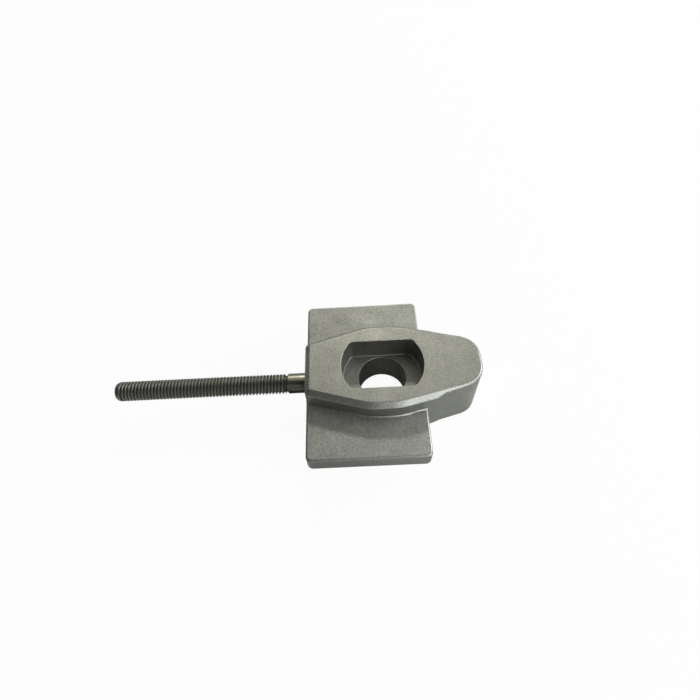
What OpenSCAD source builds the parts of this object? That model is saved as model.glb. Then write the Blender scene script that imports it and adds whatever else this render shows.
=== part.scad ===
// Chain adjuster for a motorcycle rear axle.
// A cast block with a cross plate slides along the swingarm.
// The axle passes through the bore and its flat-sided head sits in the recess.
// The threaded stud pulls the block along the arm when its nut is turned.
// X runs along the swingarm towards the nose, Z is the axle axis, and the foot of
// the block lies at Z = 0.

/* [Plate] */
// Length of the plate along the swingarm
plate_length = 34.4; // [26:0.2:44]
// Width of the plate across the swingarm
plate_width = 52; // [40:0.5:70]
// Thickness of the plate, midway up the block
plate_thickness = 6; // [4:0.2:9]
// Radius of the upright corners of the plate
plate_corner_radius = 1.6; // [1:0.1:5]
// Chamfer along the edges of both plate faces
plate_edge = 0.4; // [0.2:0.1:0.8]

/* [Block] */
// Height of the block from its foot to its top face
block_height = 18.4; // [15:0.2:26]
// Distance from the bore axis to the end face that carries the stud
tail_length = 22.3; // [20:0.2:32]
// Width of the end face that carries the stud
tail_width = 16.8; // [12:0.2:22]
// Radius of the upright corners of the stud end
tail_corner_radius = 1.5; // [0.5:0.1:3]
// Width of the block across the bore
block_width = 27.6; // [26:0.2:36]
// Length of the parallel sides beside the bore
parallel_length = 8.8; // [4:0.2:14]
// Radius that blends the parallel sides into the tapers
side_blend_radius = 20; // [5:1:25]
// Angle at which each side closes towards the nose
nose_taper = 13.8; // [6:0.2:18]
// Chamfer round the top face
top_chamfer = 1.4; // [1:0.1:2]
// Chamfer round the foot
foot_chamfer = 1.2; // [1:0.1:2]
// Cove where the block meets the plate
root_cove = 0.3; // [0.2:0.1:1.5]

/* [Nose] */
// Distance from the bore axis to the tip of the nose
nose_length = 28.2; // [25:0.2:36]
// Radius of the upright corners of the nose
nose_corner_radius = 6.8; // [3:0.1:7.5]
// Depth by which the sides of the nose are set back from the block, where this starts
nose_relief = 0.6; // [0.3:0.1:0.8]
// Depth of the set-back round the tip of the nose
tip_relief = 0.9; // [0.3:0.1:0.9]
// Distance from the bore axis to the start of the set-back
relief_start = 14.6; // [13:0.2:18]
// Angle at which the block runs down to the set-back
relief_angle = 28; // [24:1:40]

/* [Axle] */
// Diameter of the bore for the axle
bore_diameter = 14; // [8:0.5:15]
// Diameter of the recess for the axle head
recess_diameter = 23.6; // [18:0.2:24]
// Distance across the two flats of the recess
recess_flats = 15.4; // [15.2:0.2:20]
// Depth of the recess below the top face
recess_depth = 8; // [3:0.2:10]
// Radius of the upright corners between the flats and the round ends of the recess
recess_corner_radius = 1.5; // [0.8:0.1:2.5]
// Round where the walls of the recess meet its floor
recess_root = 0.5; // [0.3:0.1:0.7]

/* [Stud] */
// Diameter of the plain shank
shank_diameter = 6; // [5:0.5:8]
// Length of plain shank that shows outside the block
shank_length = 5.8; // [2:0.2:15]
// Outer diameter of the threaded length
thread_diameter = 5.9; // [4.8:0.1:7.8]
// Diameter of the run-out groove between shank and thread
groove_diameter = 5; // [3:0.1:5]
// Width of the run-out groove
groove_width = 0.8; // [0.4:0.1:2]
// Length of stud that stands out of the block
stud_reach = 57.8; // [30:0.2:100]
// Depth to which the stud is set into the block
stud_seat = 9; // [5:0.5:10]
// Length of the lead-in cone at the free end
tip_length = 2; // [0.5:0.1:3]
// Depth of the lead-in cone at the free end
tip_depth = 0.9; // [0.3:0.1:1.5]

/* [Hidden] */

// Smallest turn and smallest chord between neighbouring points of a corner round
arc_turn = 6;
arc_chord = 0.6;
// Segments of the drawn circles
round_fn = 96;
// Segments of the small rounds at the plate corners
corner_fn = 32;
// Turn between neighbouring edges of the round at the floor of the recess
root_turn = 30;
// Length by which a cutter runs past the face it opens
overcut = 1;

middle_height = block_height / 2;
half_width = block_width / 2;
half_parallel = parallel_length / 2;
plate_under = middle_height - plate_thickness / 2;
plate_top = middle_height + plate_thickness / 2;

// The side that closes towards the stud runs from the parallel part to the end face
tail_taper = atan2(half_width - tail_width / 2, tail_length - half_parallel);

// The nose outline before its sides are set back
full_corner_radius = nose_corner_radius + tip_relief;
nose_corner_x = nose_length - nose_corner_radius;
nose_corner_y = half_width - (nose_corner_x - half_parallel) * tan(nose_taper)
    - full_corner_radius / cos(nose_taper);

// Centres of the rounds on the side of the block
nose_blend_x = half_parallel - side_blend_radius * tan(nose_taper / 2);
tail_blend_x = side_blend_radius * tan(tail_taper / 2) - half_parallel;
blend_y = half_width - side_blend_radius;
tail_corner_x = tail_corner_radius - tail_length;
tail_corner_y = tail_width / 2 + tail_corner_radius * tan(tail_taper)
    - tail_corner_radius / cos(tail_taper);

// Centres of the upright corners of the recess
recess_corner_y = recess_flats / 2 - recess_corner_radius;
recess_corner_x = sqrt(pow(recess_diameter / 2 - recess_corner_radius, 2) - pow(recess_corner_y, 2));

// Points along an arc, which a margin draws in towards its centre
function arc_points(x, y, radius, start, end, margin = 0) =
    let (
        turn = end - start,
        arc_length = radius * turn * PI / 180,
        steps = ceil(min(turn / arc_turn, arc_length / arc_chord)),
        reach = radius - margin
    )
        [
            for (i = [0:steps])
                let (angle = start + turn * i / steps)
                    [x + reach * cos(angle), y + reach * sin(angle)]
        ];

// One side of the outline, from the tip of the nose round to the stud end
side_points = concat(
    [[nose_corner_x + full_corner_radius, 0]],
    arc_points(nose_corner_x, nose_corner_y, full_corner_radius, 0, 90 - nose_taper),
    arc_points(nose_blend_x, blend_y, side_blend_radius, 90 - nose_taper, 90),
    arc_points(tail_blend_x, blend_y, side_blend_radius, 90, 90 + tail_taper),
    arc_points(tail_corner_x, tail_corner_y, tail_corner_radius, 90 + tail_taper, 180)
);

module block_side() {
    polygon(concat(side_points, [[-tail_length, 0]]));
}

module block_outline() {
    block_side();
    mirror([0, 1]) block_side();
}

// One side of the outline that cuts the block, with the side of the nose set back
module relief_side() {
    start_y = half_width - (relief_start - half_parallel) * tan(nose_taper);
    run = nose_relief / cos(nose_taper) / (tan(relief_angle) - tan(nose_taper));
    run_end = [relief_start + run, start_y - run * tan(relief_angle)];
    outer_y = half_width + overcut;
    run_top = [relief_start - (outer_y - start_y) / tan(relief_angle), outer_y];
    tail_x = -tail_length - overcut;
    // The set-back side runs from the end of the run-down to touch the corner round
    to_corner = [nose_corner_x - run_end.x, run_end.y - nose_corner_y];
    side_taper = atan2(to_corner.y, to_corner.x) - asin(nose_corner_radius / norm(to_corner));
    polygon(concat(
        [[nose_length, 0]],
        arc_points(nose_corner_x, nose_corner_y, nose_corner_radius, 0, 90 - side_taper),
        [run_end, run_top, [tail_x, outer_y], [tail_x, 0]]
    ));
}

module relieved_outline() {
    relief_side();
    mirror([0, 1]) relief_side();
}

// A layer of the outline, drawn in or out by a margin
module outline_layer(margin, bottom, top) {
    translate([0, 0, bottom]) linear_extrude(top - bottom) offset(delta = margin) block_outline();
}

module chamfered_body() {
    hull() {
        outline_layer(0, foot_chamfer, block_height - top_chamfer);
        outline_layer(-foot_chamfer, 0, block_height / 2);
        outline_layer(-top_chamfer, block_height / 2, block_height);
    }
}

module plate_outline() {
    inner_length = plate_length - 2 * plate_corner_radius;
    inner_width = plate_width - 2 * plate_corner_radius;
    translate([plate_length / 2 - tail_length, 0]) {
        square([inner_length, plate_width], center = true);
        square([plate_length, inner_width], center = true);
        for (x = [-1, 1], y = [-1, 1])
            translate([x * inner_length / 2, y * inner_width / 2])
                circle(plate_corner_radius, $fn = corner_fn);
    }
}

module plate() {
    translate([0, 0, plate_under])
        hull() {
            linear_extrude(plate_thickness) offset(delta = -plate_edge) plate_outline();
            translate([0, 0, plate_edge])
                linear_extrude(plate_thickness - 2 * plate_edge) plate_outline();
        }
}

// The block meets both faces of the plate in a small cove, which ends with the plate
module root_coves() {
    intersection() {
        hull() {
            outline_layer(root_cove, plate_under, plate_top);
            outline_layer(0, plate_under - root_cove, plate_top + root_cove);
        }
        translate([-tail_length, -plate_width / 2, 0]) cube([plate_length, plate_width, block_height]);
    }
}

module axle_bore() {
    translate([0, 0, -overcut])
        cylinder(d = bore_diameter, h = block_height + 2 * overcut, $fn = round_fn);
}

// Half of the recess outline, drawn in by a margin: a round end and a corner on each side
module recess_half(margin) {
    turn = atan2(recess_corner_y, recess_corner_x);
    x = recess_corner_x;
    y = recess_corner_y;
    polygon(concat(
        arc_points(x, -y, recess_corner_radius, -90, -turn, margin),
        arc_points(0, 0, recess_diameter / 2, -turn, turn, margin),
        arc_points(x, y, recess_corner_radius, turn, 90, margin)
    ));
}

// Two flats keep the axle head from turning, and the floor meets the walls in a round
module head_recess() {
    translate([0, 0, block_height - recess_depth])
        hull()
            for (turn = [0:root_turn:90]) {
                margin = recess_root * (1 - cos(turn));
                bottom = recess_root * (1 - sin(turn));
                translate([0, 0, bottom])
                    linear_extrude(recess_depth + overcut - bottom) {
                        recess_half(margin);
                        mirror([1, 0]) recess_half(margin);
                    }
            }
}

// Places its child along the stud axis, with Z = 0 at the stud's inner end
module on_stud_axis() {
    translate([stud_seat - tail_length, 0, middle_height]) rotate([0, -90, 0]) children();
}

module adjuster_block() {
    color([0.72, 0.72, 0.68])
        difference() {
            union() {
                intersection() {
                    chamfered_body();
                    linear_extrude(block_height) relieved_outline();
                }
                plate();
                root_coves();
            }
            axle_bore();
            head_recess();
            on_stud_axis() cylinder(d = shank_diameter, h = stud_seat + overcut, $fn = round_fn);
        }
}

module threaded_stud() {
    shank_end = stud_seat + shank_length;
    thread_start = shank_end + groove_width;
    stud_end = stud_seat + stud_reach;
    color([0.38, 0.38, 0.36])
        on_stud_axis()
            rotate_extrude($fn = round_fn)
                polygon([
                    [0, 0],
                    [shank_diameter / 2, 0],
                    [shank_diameter / 2, shank_end],
                    [groove_diameter / 2, shank_end],
                    [groove_diameter / 2, thread_start],
                    [thread_diameter / 2, thread_start],
                    [thread_diameter / 2, stud_end - tip_length],
                    [thread_diameter / 2 - tip_depth, stud_end],
                    [0, stud_end]
                ]);
}

adjuster_block();
threaded_stud();
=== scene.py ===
"""A cast motorcycle chain adjuster and its threaded stud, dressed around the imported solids.

Lengths are metres in the part's own frame: Z is the axis of the axle bore, X runs along the
swingarm towards the nose, the stud points to -X, and the foot of the block lies at Z = 0.
"""

import math

import bpy
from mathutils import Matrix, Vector


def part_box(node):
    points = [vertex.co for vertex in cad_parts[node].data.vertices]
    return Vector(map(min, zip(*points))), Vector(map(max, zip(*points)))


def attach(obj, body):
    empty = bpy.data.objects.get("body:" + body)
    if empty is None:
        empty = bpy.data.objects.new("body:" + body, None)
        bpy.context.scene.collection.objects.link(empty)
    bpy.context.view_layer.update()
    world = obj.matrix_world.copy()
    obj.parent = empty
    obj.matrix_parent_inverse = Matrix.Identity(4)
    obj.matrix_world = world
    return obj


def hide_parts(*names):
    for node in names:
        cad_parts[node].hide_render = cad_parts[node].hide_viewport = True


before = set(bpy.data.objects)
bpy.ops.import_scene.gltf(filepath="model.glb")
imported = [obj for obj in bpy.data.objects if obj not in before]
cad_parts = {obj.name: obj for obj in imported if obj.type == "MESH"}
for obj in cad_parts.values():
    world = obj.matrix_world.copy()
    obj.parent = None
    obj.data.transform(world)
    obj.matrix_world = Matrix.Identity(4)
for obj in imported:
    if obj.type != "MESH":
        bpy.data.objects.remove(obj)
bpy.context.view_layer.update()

MM = 0.001

# Places that the solids set
BLOCK_LOW, BLOCK_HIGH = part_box("adjuster_block")
STUD_LOW, STUD_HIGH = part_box("threaded_stud")
STUD_RADIUS = (STUD_HIGH.z - STUD_LOW.z) / 2
STUD_AXIS_Z = (STUD_HIGH.z + STUD_LOW.z) / 2
STUD_TIP_X = STUD_LOW.x
STUD_ROOT_X = STUD_HIGH.x
TAIL_X = BLOCK_LOW.x
PLATE_TOP_Z = 12.2 * MM
PLATE_UNDER_Z = 6.2 * MM

# Points that are the same, on the merged solid and on a turned surface's seam
SAME_POINT = 0.07 * MM
SAME_SEAM_POINT = 0.002 * MM

# The block's softened edges
FLAT_ANGLE = math.radians(0.3)
EDGE_ANGLE = math.radians(31)
EDGE_ROUND = 0.2 * MM
EDGE_STEPS = 3
ROUNDED_SLOT = 1
FLAT_FACE_WEIGHT = 60

# Edges that stay sharp: at the roots of the plate, under the nose and in the stud's hole
ROOT_REACH = 0.7 * MM
ROOT_WIDTH = 14.3 * MM
UNDER_NOSE_X = 25 * MM
UNDER_NOSE_Z = 1.5 * MM
SEAT_RADIUS = 3.2 * MM

# Marks on the block's faces, and how level a face is to get one
# The rounded edges, brightened by rubbing and a painted highlight
WORN_AND_HIGHLIGHT = "worn_and_highlight"
AS_CAST = "as_cast"
SIDE = "side"
LEVEL = 0.99
NEARLY_LEVEL = 0.9

# Painted light on the block: painted shade towards the tail and painted light towards the nose, a
# painted sheen in a faint band across the plate, and painted light on the top face
TAIL_PAINTED_LIGHT = 0.91
NOSE_PAINTED_LIGHT = 1.03
PAINTED_LIGHT_START_X = -20 * MM
PAINTED_LIGHT_END_X = 12 * MM
TOP_PAINTED_LIGHT = 0.04
TOP_PAINTED_LIGHT_START = 0.4 * MM
TOP_PAINTED_LIGHT_END = 0.1 * MM
SHEEN_BAND_LIFT = 0.09
BAND_PLACE = -1.1 * MM
BAND_SLANT = 0.07
BAND_REACH = 4.5 * MM
BAND_END_Y = -11 * MM
BAND_FADE = 3 * MM

# The cast finish
BLOCK_DARK = (0.29, 0.29, 0.265)
BLOCK_LIGHT = (0.55, 0.55, 0.515)
PLATE_DARK = (0.33, 0.33, 0.305)
PLATE_LIGHT = (0.68, 0.68, 0.65)
# The edges' colour, brighter from rubbing and a painted highlight
WORN_HIGHLIGHT_COLOUR = (0.62, 0.62, 0.6)
PATCH_SIZE = 6 * MM
GRAIN_SIZE = 0.5 * MM
GRAIN_SHARE = 0.8
PATCH_SHARE = 0.2
PIT_SIZE = 0.4 * MM
PIT_DEPTH = 0.02 * MM
WEAR_HIGHLIGHT_STARTS = 0.35
WEAR_HIGHLIGHT_ENDS = 0.6
WEAR_HIGHLIGHT_LEAST = 0.15
WEAR_HIGHLIGHT_MOST = 0.8
CAST_ROUGHEST = 0.54
CAST_SMOOTHEST = 0.5
PLATE_ROUGHER = 0.12
SIDE_SMOOTHER = -0.09

# The stud's finish and the painted shade under its shank, with heights from its own axis
SHANK_COLOUR = (0.42, 0.41, 0.35)
SHANK_PAINTED_SHADE = (0, 0, 0)
SHANK_SHADED_SHARE = 0.24
SHANK_UNDER_HEIGHT = 0.6 * MM
SHANK_TOP_HEIGHT = 2.7 * MM
SHANK_FADE = 0.1 * MM
SHANK_SMOOTHER = 0.1
# Painted shade in the thread's roots, and the crests' colour
ROOT_SHADE_COLOUR = (0.2, 0.2, 0.18)
CREST_COLOUR = (0.42, 0.42, 0.38)
OIL_PATCH_SIZE = 1.2 * MM
OIL_THINNEST = 0.7
STEEL_ROUGHEST = 0.48
STEEL_SMOOTHEST = 0.4
FINE_GRAIN_SIZE = 0.12 * MM
FINE_GRAIN_DEPTH = 0.002 * MM

# The part of a noise's range that most of it lies in
NOISE_LOW = 0.3
NOISE_HIGH = 0.7

# The stud, along its own axis from the face of the block
SHANK_LENGTH = 5.8 * MM
GROOVE_LENGTH = 0.8 * MM
GROOVE_RADIUS = 2.5 * MM
THREAD_PITCH = 1 * MM
THREAD_CREST = 2.95 * MM
THREAD_ROOT = 2.45 * MM
CREST_FLAT = 0.24 * MM
ROOT_FLAT = 0.2 * MM
THREAD_STEPS = 48
SPARE_TURNS = 2
LATHE_STEPS = 64
SHANK_EDGE = 0.15 * MM
SUNK = 0.1 * MM
TIP_ROUND_LENGTH = 1.6 * MM
TIP_ROUND_DEPTH = 1 * MM
TIP_INSET = 0.2 * SUNK
TIP_ARC_STEPS = 8
STUD_SMOOTH_ANGLE = math.radians(35)

# The camera of the photograph
CAMERA_PLACE = (-0.005954, -0.075345, 0.140973)
CAMERA_TURN = (33.1643, 2.5795, -1.7084)
CAMERA_LENS = 25.971
SENSOR_WIDTH = 36
NEAREST_SEEN = 0.01

# The studio
FLOOR_SIZE = 8
FLOOR_GAP = 0.02 * MM
FLOOR_COLOUR = (0.8, 0.8, 0.8)
WHITE_TO_EYE = 0.93
WHITE_STRENGTH = 1.025
SURROUND_TO_EYE = 0.97
WHITE_TO_METAL = 0.02
AMBIENT = 0.015
WARM = (1, 0.99, 0.88)
COOL = (0.96, 1, 1)
BOX_DISTANCE = 0.7
BOX_SIZE = 0.3


def deselect_all():
    """Drops the selection, which the loaded solids hold at first."""
    bpy.ops.object.select_all(action="DESELECT")


def make_active(piece):
    """Leaves one object selected and active."""
    deselect_all()
    piece.select_set(True)
    bpy.context.view_layer.objects.active = piece


def edit(piece):
    """Opens an object's points in edit mode with nothing selected."""
    make_active(piece)
    bpy.ops.object.mode_set(mode="EDIT")
    bpy.ops.mesh.select_mode(type="VERT")
    bpy.ops.mesh.select_all(action="DESELECT")


def close_edit():
    """Leaves edit mode."""
    bpy.ops.object.mode_set(mode="OBJECT")


def apply_modifier(piece, kind, **settings):
    """Adds one modifier with its settings and applies it."""
    make_active(piece)
    modifier = piece.modifiers.new(kind.title(), kind)
    for name, value in settings.items():
        setattr(modifier, name, value)
    bpy.ops.object.modifier_apply(modifier=modifier.name)


def apply_place(piece):
    """Moves an object's place into its mesh, so that the object sits at the origin."""
    make_active(piece)
    bpy.ops.object.transform_apply(location=True, rotation=True, scale=True)


def drawn_line(name, points):
    """A line of edges drawn from one point by extruding it from corner to corner."""
    deselect_all()
    bpy.ops.mesh.primitive_plane_add(size=MM, location=(0, 0, 0))
    line = bpy.context.object
    line.name = name
    line.data.name = name
    bpy.ops.object.mode_set(mode="EDIT")
    bpy.ops.mesh.select_mode(type="VERT")
    bpy.ops.mesh.select_all(action="SELECT")
    bpy.ops.mesh.merge(type="CENTER")
    bpy.ops.transform.translate(value=points[0])
    for here, there in zip(points, points[1:]):
        step = Vector(there) - Vector(here)
        bpy.ops.mesh.extrude_region_move(TRANSFORM_OT_translate={"value": step})
    close_edit()
    return line


def close_surface(piece):
    """Merges the seam and the poles and turns every face outwards."""
    edit(piece)
    bpy.ops.mesh.select_all(action="SELECT")
    bpy.ops.mesh.remove_doubles(threshold=SAME_SEAM_POINT)
    bpy.ops.mesh.select_all(action="SELECT")
    bpy.ops.mesh.normals_make_consistent(inside=False)
    close_edit()


def turned_on_stud_axis(name, outline):
    """A closed solid turned about the X axis from pairs of distance from the face and radius."""
    line = drawn_line(name, [(-along, 0, radius) for along, radius in outline])
    edit(line)
    bpy.ops.mesh.select_all(action="SELECT")
    bpy.ops.mesh.spin(steps=LATHE_STEPS, angle=math.tau, center=(0, 0, 0), axis=(1, 0, 0))
    close_edit()
    close_surface(line)
    return line


def trim(piece, x, keep_below):
    """Cuts a solid across the X axis and caps the cut."""
    edit(piece)
    bpy.ops.mesh.select_all(action="SELECT")
    bpy.ops.mesh.bisect(
        plane_co=(x, 0, 0),
        plane_no=(1, 0, 0),
        use_fill=True,
        clear_outer=keep_below,
        clear_inner=not keep_below,
    )
    close_edit()


def joined(name, pieces):
    """Joins closed solids that run into each other into one object."""
    make_active(pieces[0])
    for piece in pieces:
        piece.select_set(True)
    bpy.ops.object.join()
    pieces[0].name = name
    pieces[0].data.name = name
    return pieces[0]


def tooth_outline():
    """One pitch of the thread: root, rising flank, crest and falling flank."""
    flank = (THREAD_PITCH - CREST_FLAT - ROOT_FLAT) / 2
    return [
        (0, 0, THREAD_ROOT),
        (-ROOT_FLAT, 0, THREAD_ROOT),
        (-ROOT_FLAT - flank, 0, THREAD_CREST),
        (-ROOT_FLAT - flank - CREST_FLAT, 0, THREAD_CREST),
        (-THREAD_PITCH, 0, THREAD_ROOT),
    ]


def thread_helix(start, end):
    """A solid helical thread about the X axis between two distances from the face."""
    helix = drawn_line("thread", tooth_outline())
    apply_modifier(
        helix,
        "SCREW",
        axis="X",
        screw_offset=-THREAD_PITCH,
        iterations=math.ceil((end - start) / THREAD_PITCH) + SPARE_TURNS,
        steps=THREAD_STEPS,
        render_steps=THREAD_STEPS,
        use_merge_vertices=False,
    )
    helix.location.x = THREAD_PITCH - start
    apply_place(helix)
    close_surface(helix)
    trim(helix, -start, keep_below=True)
    trim(helix, -end, keep_below=False)
    close_surface(helix)
    return helix


def tip_outline(reach):
    """The rounded free end of the stud, from its full radius in to the flat of the tip."""
    points = []
    for step in range(TIP_ARC_STEPS + 1):
        angle = math.radians(90) * step / TIP_ARC_STEPS
        along = reach - TIP_ROUND_LENGTH * (1 - math.sin(angle))
        radius = THREAD_CREST - TIP_INSET - TIP_ROUND_DEPTH * (1 - math.cos(angle))
        points.append((along, radius))
    return points


def rounded_tip(start, reach):
    """The stud's free end, from inside the thread out to the tip."""
    outline = [(start, 0)] + tip_outline(reach) + [(reach, 0)]
    return turned_on_stud_axis("tip", outline)


def plain_shank(seat, thread_start):
    """The turned shank, from its seat in the block down to the root of the thread."""
    outline = [
        (seat, 0),
        (seat, STUD_RADIUS),
        (SHANK_LENGTH - SHANK_EDGE, STUD_RADIUS),
        (SHANK_LENGTH, STUD_RADIUS - SHANK_EDGE),
        (SHANK_LENGTH, GROOVE_RADIUS),
        (thread_start + SUNK, THREAD_ROOT - SUNK),
        (thread_start + SUNK, 0),
    ]
    return turned_on_stud_axis("shank", outline)


def threaded_stud():
    """The stud: a shank set in the block, a run-out groove, a cut thread and a rounded end."""
    seat = TAIL_X - STUD_ROOT_X
    reach = TAIL_X - STUD_TIP_X
    thread_start = SHANK_LENGTH + GROOVE_LENGTH
    thread_end = reach - TIP_ROUND_LENGTH + SUNK
    lengths = [
        plain_shank(seat, thread_start),
        thread_helix(thread_start, thread_end),
        rounded_tip(thread_end - 2 * SUNK, reach),
    ]
    stud = joined("stud_with_thread", lengths)
    stud.location = (TAIL_X, 0, STUD_AXIS_Z)
    apply_place(stud)
    make_active(stud)
    bpy.ops.object.shade_smooth_by_angle(angle=STUD_SMOOTH_ANGLE)
    return stud


def merged_copy(node, name):
    """A copy of a solid, with its loose triangles merged into whole faces."""
    piece = bpy.data.objects.new(name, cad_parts[node].data.copy())
    piece.data.name = name
    bpy.context.scene.collection.objects.link(piece)
    edit(piece)
    bpy.ops.mesh.select_all(action="SELECT")
    bpy.ops.mesh.remove_doubles(threshold=SAME_POINT)
    bpy.ops.mesh.select_all(action="SELECT")
    bpy.ops.mesh.dissolve_limited(angle_limit=FLAT_ANGLE)
    close_edit()
    return piece


def is_near_plate(z, reach):
    """Tells whether a height lies near the upper or the under face of the plate."""
    return min(abs(z - PLATE_TOP_Z), abs(z - PLATE_UNDER_Z)) < reach


def is_left_sharp(place):
    """Tells whether an edge is hidden, or lies in a corner that is too tight to round."""
    in_root = is_near_plate(place.z, ROOT_REACH) and abs(place.y) < ROOT_WIDTH
    under_nose = place.z < UNDER_NOSE_Z and place.x > UNDER_NOSE_X
    off_axis = math.hypot(place.y, place.z - STUD_AXIS_Z)
    in_seat = off_axis < SEAT_RADIUS and place.x < STUD_ROOT_X + SAME_POINT
    return in_root or under_nose or in_seat


def keep_edges_to_round(piece):
    """Leaves only the sharp edges selected that take a round."""
    mesh = piece.data
    mesh.polygons.foreach_set("select", [False] * len(mesh.polygons))
    mesh.vertices.foreach_set("select", [False] * len(mesh.vertices))
    for edge in mesh.edges:
        first, second = [mesh.vertices[index].co for index in edge.vertices]
        if edge.select and is_left_sharp((first + second) / 2):
            edge.select = False


def round_sharp_edges(piece):
    """Rounds the sharp edges, and gives the new faces a material slot to know them by."""
    piece.data.materials.clear()
    for slot in range(ROUNDED_SLOT + 1):
        piece.data.materials.append(None)
    edit(piece)
    bpy.ops.mesh.select_mode(type="EDGE")
    bpy.ops.mesh.edges_select_sharp(sharpness=EDGE_ANGLE)
    close_edit()
    keep_edges_to_round(piece)
    bpy.ops.object.mode_set(mode="EDIT")
    bpy.ops.mesh.bevel(
        offset=EDGE_ROUND,
        segments=EDGE_STEPS,
        profile=0.5,
        affect="EDGES",
        material=ROUNDED_SLOT,
    )
    close_edit()


def is_plate_face(face):
    """Tells whether a face lies in the upper or under face of the plate."""
    return abs(face.normal.z) > LEVEL and is_near_plate(face.center.z, SAME_POINT)


def mark_faces(piece, name, marks):
    """Writes a mark on each face for a finish to read."""
    attribute = piece.data.attributes.new(name, "FLOAT", "FACE")
    attribute.data.foreach_set("value", [float(mark) for mark in marks])


def mark_block(block):
    """Marks the rounded edges, the plate's faces and the sides, and frees the rounds' slot."""
    faces = block.data.polygons
    mark_faces(block, WORN_AND_HIGHLIGHT, [face.material_index == ROUNDED_SLOT for face in faces])
    mark_faces(block, AS_CAST, [is_plate_face(face) for face in faces])
    mark_faces(block, SIDE, [abs(face.normal.z) < NEARLY_LEVEL for face in faces])
    faces.foreach_set("material_index", [0] * len(faces))


def cast_block():
    """The block and its plate in one casting, with its edges softened by blasting."""
    block = merged_copy("adjuster_block", "cast_block")
    round_sharp_edges(block)
    mark_block(block)
    make_active(block)
    bpy.ops.object.shade_smooth_by_angle(angle=EDGE_ANGLE)
    apply_modifier(block, "WEIGHTED_NORMAL", keep_sharp=True, weight=FLAT_FACE_WEIGHT)
    return block


def empty_finish(name):
    """A node material emptied down to its output."""
    finish = bpy.data.materials.new(name)
    finish.use_nodes = True
    tree = finish.node_tree
    tree.nodes.clear()
    output = tree.nodes.new("ShaderNodeOutputMaterial")
    return finish, tree, output.inputs["Surface"]


def metal_finish(name):
    """A metal material, with the part's Object coordinates."""
    finish, tree, surface = empty_finish(name)
    shader = tree.nodes.new("ShaderNodeBsdfPrincipled")
    shader.inputs["Metallic"].default_value = 1
    tree.links.new(shader.outputs["BSDF"], surface)
    coords = tree.nodes.new("ShaderNodeTexCoord")
    return finish, tree, shader, coords.outputs["Object"]


def noise(tree, coords, size, detail=2.0, roughness=0.5):
    """Noise whose features are about one size across."""
    texture = tree.nodes.new("ShaderNodeTexNoise")
    texture.inputs["Scale"].default_value = 1 / size
    texture.inputs["Detail"].default_value = detail
    texture.inputs["Roughness"].default_value = roughness
    tree.links.new(coords, texture.inputs["Vector"])
    return texture.outputs["Fac"]


def spread(tree, value, low, high, to_low, to_high, smooth=False):
    """Maps one range of a value to another and holds it there."""
    mapping = tree.nodes.new("ShaderNodeMapRange")
    mapping.interpolation_type = "SMOOTHSTEP" if smooth else "LINEAR"
    mapping.inputs["From Min"].default_value = low
    mapping.inputs["From Max"].default_value = high
    mapping.inputs["To Min"].default_value = to_low
    mapping.inputs["To Max"].default_value = to_high
    tree.links.new(value, mapping.inputs["Value"])
    return mapping.outputs["Result"]


def spread_noise(tree, value, to_low, to_high):
    """Maps the range that most of a noise lies in to another."""
    return spread(tree, value, NOISE_LOW, NOISE_HIGH, to_low, to_high)


def calculate(tree, operation, first, second):
    """One step of arithmetic between two values, either of which may be a number."""
    step = tree.nodes.new("ShaderNodeMath")
    step.operation = operation
    for socket, value in zip(step.inputs, (first, second)):
        if isinstance(value, (int, float)):
            socket.default_value = value
        else:
            tree.links.new(value, socket)
    return step.outputs[0]


def blend_colours(tree, factor, first, second):
    """A colour between two, either of which may come from other nodes."""
    mix = tree.nodes.new("ShaderNodeMix")
    mix.data_type = "RGBA"
    tree.links.new(factor, mix.inputs["Factor"])
    for name, value in (("A", first), ("B", second)):
        socket = [s for s in mix.inputs if s.name == name and s.type == "RGBA"][0]
        if isinstance(value, tuple):
            socket.default_value = (*value, 1)
        else:
            tree.links.new(value, socket)
    return [s for s in mix.outputs if s.type == "RGBA"][0]


def toned(tree, colour, tone):
    """A colour multiplied by a brightness."""
    scale = tree.nodes.new("ShaderNodeVectorMath")
    scale.operation = "SCALE"
    tree.links.new(colour, scale.inputs[0])
    tree.links.new(tone, scale.inputs["Scale"])
    return scale.outputs[0]


def bump(tree, shader, height, depth):
    """Relief of one depth on a material."""
    relief = tree.nodes.new("ShaderNodeBump")
    relief.inputs["Strength"].default_value = 1
    relief.inputs["Distance"].default_value = depth
    tree.links.new(height, relief.inputs["Height"])
    tree.links.new(relief.outputs["Normal"], shader.inputs["Normal"])
    return relief


def face_mark(tree, name):
    """The marks of one name on a piece's faces."""
    attribute = tree.nodes.new("ShaderNodeAttribute")
    attribute.attribute_name = name
    return attribute.outputs["Fac"]


def separated(tree, coords):
    """The X, Y and Z of a place on the part."""
    split = tree.nodes.new("ShaderNodeSeparateXYZ")
    tree.links.new(coords, split.inputs["Vector"])
    return split.outputs


def painted_sheen_band(tree, x, y):
    """A painted sheen: a faint pale band across the plate and the block, which fades out at the
    near end.
    """
    slant = calculate(tree, "ADD", x, calculate(tree, "MULTIPLY", y, BAND_SLANT))
    rise = spread(tree, slant, BAND_PLACE - BAND_REACH, BAND_PLACE, 0, 1, smooth=True)
    fall = spread(
        tree, slant, BAND_PLACE, BAND_PLACE + BAND_REACH, SHEEN_BAND_LIFT, 0, smooth=True
    )
    end = spread(tree, y, BAND_END_Y - BAND_FADE, BAND_END_Y, 0, 1, smooth=True)
    return calculate(tree, "MULTIPLY", calculate(tree, "MULTIPLY", rise, fall), end)


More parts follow.
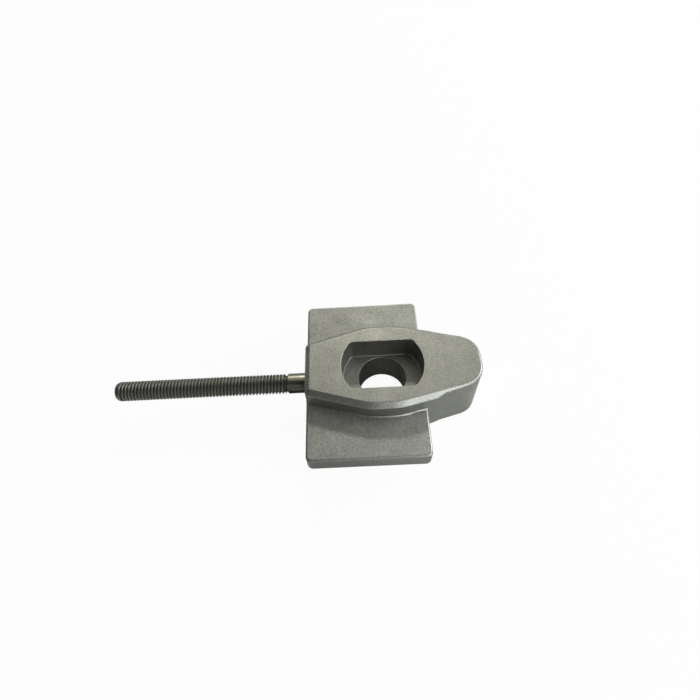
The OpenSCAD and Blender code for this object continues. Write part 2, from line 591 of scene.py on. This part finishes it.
def painted_light_tone(tree, coords):
    """The painted light on the block: painted shade and light broad along X, a pale band of
    painted sheen and a paler top face from painted light.
    """
    x, y, z = separated(tree, coords)
    # A painted sheen in a pale band
    band = painted_sheen_band(tree, x, y)
    # Painted shade towards the tail, painted light towards the nose
    along = spread(tree, x, PAINTED_LIGHT_START_X, PAINTED_LIGHT_END_X, TAIL_PAINTED_LIGHT, NOSE_PAINTED_LIGHT)
    # Painted light on the top face
    top_start = BLOCK_HIGH.z - TOP_PAINTED_LIGHT_START
    top_end = BLOCK_HIGH.z - TOP_PAINTED_LIGHT_END
    top = spread(tree, z, top_start, top_end, 0, TOP_PAINTED_LIGHT)
    return calculate(tree, "ADD", along, calculate(tree, "ADD", band, top))


def cast_colour(tree, coords, grain, patches, plate):
    """Speckled grey aluminium, paler on the plate, brighter on the edges from rubbing and a
    painted highlight, and carrying painted light and shade.
    """
    fine = spread_noise(tree, grain, 0, GRAIN_SHARE)
    broad = spread_noise(tree, patches, 0, PATCH_SHARE)
    speckle = calculate(tree, "ADD", fine, broad)
    low_tone = blend_colours(tree, plate, BLOCK_DARK, PLATE_DARK)
    high_tone = blend_colours(tree, plate, BLOCK_LIGHT, PLATE_LIGHT)
    ground = blend_colours(tree, speckle, low_tone, high_tone)
    # Rounded edges brightened by rubbing and a painted highlight
    rubbed_and_highlight = spread(tree, grain, WEAR_HIGHLIGHT_STARTS, WEAR_HIGHLIGHT_ENDS, WEAR_HIGHLIGHT_LEAST, WEAR_HIGHLIGHT_MOST)
    wear_and_highlight = calculate(tree, "MULTIPLY", face_mark(tree, WORN_AND_HIGHLIGHT), rubbed_and_highlight)
    colour = blend_colours(tree, wear_and_highlight, ground, WORN_HIGHLIGHT_COLOUR)
    # The colour is brightened and darkened by painted light and shade
    return toned(tree, colour, painted_light_tone(tree, coords))


def cast_roughness(tree, patches, plate):
    """The dullness of the blasted skin, rougher on the plate and smoother on the sides."""
    skin = spread_noise(tree, patches, CAST_ROUGHEST, CAST_SMOOTHEST)
    rougher = calculate(tree, "MULTIPLY", plate, PLATE_ROUGHER)
    smoother = calculate(tree, "MULTIPLY", face_mark(tree, SIDE), SIDE_SMOOTHER)
    return calculate(tree, "ADD", calculate(tree, "ADD", skin, rougher), smoother)


def cast_alloy():
    """Blasted aluminium: a fine grain of pits, rougher on the plate, brighter on its edges from
    rubbing and a painted highlight, with painted light and shade in its colour.
    """
    finish, tree, shader, coords = metal_finish("cast_alloy")
    patches = noise(tree, coords, PATCH_SIZE, detail=2)
    grain = noise(tree, coords, GRAIN_SIZE, detail=3, roughness=0.75)
    pits = noise(tree, coords, PIT_SIZE, detail=2)
    plate = face_mark(tree, AS_CAST)
    colour = cast_colour(tree, coords, grain, patches, plate)
    tree.links.new(colour, shader.inputs["Base Color"])
    tree.links.new(cast_roughness(tree, patches, plate), shader.inputs["Roughness"])
    bump(tree, shader, pits, PIT_DEPTH)
    return finish


def stud_colour(tree, height, y, shank, patches):
    """A shank that is bright above and dark below from painted shade, and a thread that is darker
    in its roots from painted shade.
    """
    square = calculate(
        tree,
        "ADD",
        calculate(tree, "MULTIPLY", height, height),
        calculate(tree, "MULTIPLY", y, y),
    )
    radius = calculate(tree, "SQRT", square, 0)
    # Painted shade in the roots, lighter on the crests with oily patches
    crest = spread(tree, radius, THREAD_ROOT, THREAD_CREST, 0, 1, smooth=True)
    crest_and_oil = calculate(tree, "MULTIPLY", crest, spread_noise(tree, patches, OIL_THINNEST, 1))
    thread = blend_colours(tree, crest_and_oil, ROOT_SHADE_COLOUR, CREST_COLOUR)
    # Painted shade, darkest under the shank
    painted_light_share = spread(tree, height, SHANK_UNDER_HEIGHT, SHANK_TOP_HEIGHT, SHANK_SHADED_SHARE, 1)
    plain = blend_colours(tree, painted_light_share, SHANK_PAINTED_SHADE, SHANK_COLOUR)
    return blend_colours(tree, shank, thread, plain)


def stud_steel():
    """Oiled steel, with a smooth turned shank and a finely grained thread, and painted shade
    under the shank and in the thread's roots.
    """
    finish, tree, shader, coords = metal_finish("stud_steel")
    x, y, z = separated(tree, coords)
    height = calculate(tree, "SUBTRACT", z, STUD_AXIS_Z)
    shank_end = TAIL_X - SHANK_LENGTH
    shank = spread(tree, x, shank_end - SHANK_FADE, shank_end, 0, 1)
    patches = noise(tree, coords, OIL_PATCH_SIZE, detail=4)
    colour = stud_colour(tree, height, y, shank, patches)
    tree.links.new(colour, shader.inputs["Base Color"])
    dull = spread_noise(tree, patches, STEEL_ROUGHEST, STEEL_SMOOTHEST)
    smoother = calculate(tree, "MULTIPLY", shank, SHANK_SMOOTHER)
    roughness = calculate(tree, "SUBTRACT", dull, smoother)
    tree.links.new(roughness, shader.inputs["Roughness"])
    fine = noise(tree, coords, FINE_GRAIN_SIZE, detail=2)
    relief = bump(tree, shader, fine, FINE_GRAIN_DEPTH)
    tree.links.new(calculate(tree, "SUBTRACT", 1, shank), relief.inputs["Strength"])
    return finish


def dress(piece, node, finish):
    """Puts a piece in the place of its solid, with its finish."""
    piece.data.materials.clear()
    piece.data.materials.append(finish)
    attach(piece, "root")
    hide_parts(node)


def white_share(tree, to_eye):
    """How white a background is: nearly full to the camera, and little in the metal."""
    path = tree.nodes.new("ShaderNodeLightPath")
    through = path.outputs["Is Transmission Ray"]
    seen = calculate(tree, "MAXIMUM", path.outputs["Is Camera Ray"], through)
    in_eye = calculate(tree, "MULTIPLY", seen, to_eye)
    in_metal = calculate(tree, "MULTIPLY", path.outputs["Is Glossy Ray"], WHITE_TO_METAL)
    return calculate(tree, "MAXIMUM", in_eye, in_metal)


def white_paper():
    """Plain pale paper that keeps a shadow and shows white to the camera."""
    finish, tree, surface = empty_finish("floor")
    paper = tree.nodes.new("ShaderNodeBsdfDiffuse")
    paper.inputs["Color"].default_value = (*FLOOR_COLOUR, 1)
    white = tree.nodes.new("ShaderNodeEmission")
    white.inputs["Strength"].default_value = WHITE_STRENGTH
    mix = tree.nodes.new("ShaderNodeMixShader")
    tree.links.new(white_share(tree, WHITE_TO_EYE), mix.inputs["Fac"])
    tree.links.new(paper.outputs["BSDF"], mix.inputs[1])
    tree.links.new(white.outputs["Emission"], mix.inputs[2])
    tree.links.new(mix.outputs["Shader"], surface)
    return finish


def pale_floor():
    """The plain floor, just under the part's foot."""
    deselect_all()
    bpy.ops.mesh.primitive_plane_add(size=FLOOR_SIZE, location=(0, 0, -FLOOR_GAP))
    floor = bpy.context.object
    floor.name = "floor"
    floor.data.materials.append(white_paper())


def soft_surround():
    """A faint even surround, which the camera sees white, as it sees the floor."""
    world = bpy.data.worlds.new("surround")
    bpy.context.scene.world = world
    world.use_nodes = True
    tree = world.node_tree
    background = tree.nodes["Background"]
    background.inputs["Color"].default_value = (1, 1, 1, 1)
    white = white_share(tree, SURROUND_TO_EYE)
    strength = calculate(tree, "MAXIMUM", white, AMBIENT)
    tree.links.new(strength, background.inputs["Strength"])


def on_sphere(azimuth, elevation, distance):
    """A place round the part: azimuth 0 is the near side, 90 the nose's, in degrees."""
    a, e = math.radians(azimuth), math.radians(elevation)
    return Vector((math.sin(a) * math.cos(e), -math.cos(a) * math.cos(e), math.sin(e))) * distance


def lamp(name, place, size, power, colour):
    """A square soft lamp at one place, aimed at the part."""
    light = bpy.data.lights.new(name, "AREA")
    light.shape = "SQUARE"
    light.size = size
    light.energy = power
    light.color = colour
    lamp_object = bpy.data.objects.new(name, light)
    bpy.context.scene.collection.objects.link(lamp_object)
    lamp_object.location = place
    lamp_object.rotation_euler = (-place).to_track_quat("-Z", "Y").to_euler()


def soft_box(name, azimuth, elevation, power):
    """One of the cool soft boxes, which are all of one size and equally far off."""
    place = on_sphere(azimuth, elevation, BOX_DISTANCE)
    lamp(name, place, size=BOX_SIZE, power=power, colour=COOL)


def studio_lights():
    """A small key lamp behind the part, and soft boxes over it, before it and off its ends."""
    lamp("key", on_sphere(180, 38, 1.0), size=0.08, power=2.3, colour=WARM)
    lamp("overhead", on_sphere(165, 68, 0.8), size=0.5, power=0.47, colour=WARM)
    soft_box("front_box", 26, 25, power=1.05)
    soft_box("corner_box", 60, 25, power=1.05)
    soft_box("side_box", 110, 20, power=1.85)
    soft_box("high_box", 95, 35, power=0.48)
    soft_box("left_box", -25, 25, power=0.08)
    lamp("tail_box", on_sphere(-125, 35, BOX_DISTANCE), size=0.4, power=0.15, colour=WARM)


def photo_camera():
    """The camera where the photograph was taken from."""
    camera = bpy.data.cameras.new("camera")
    camera.lens = CAMERA_LENS
    camera.sensor_width = SENSOR_WIDTH
    camera.clip_start = NEAREST_SEEN
    camera_object = bpy.data.objects.new("camera", camera)
    bpy.context.scene.collection.objects.link(camera_object)
    camera_object.location = CAMERA_PLACE
    camera_object.rotation_euler = [math.radians(angle) for angle in CAMERA_TURN]
    bpy.context.scene.camera = camera_object


photo_camera()
dress(cast_block(), "adjuster_block", cast_alloy())
dress(threaded_stud(), "threaded_stud", stud_steel())
pale_floor()
soft_surround()
studio_lights()
bpy.context.scene.view_settings.view_transform = "Standard"
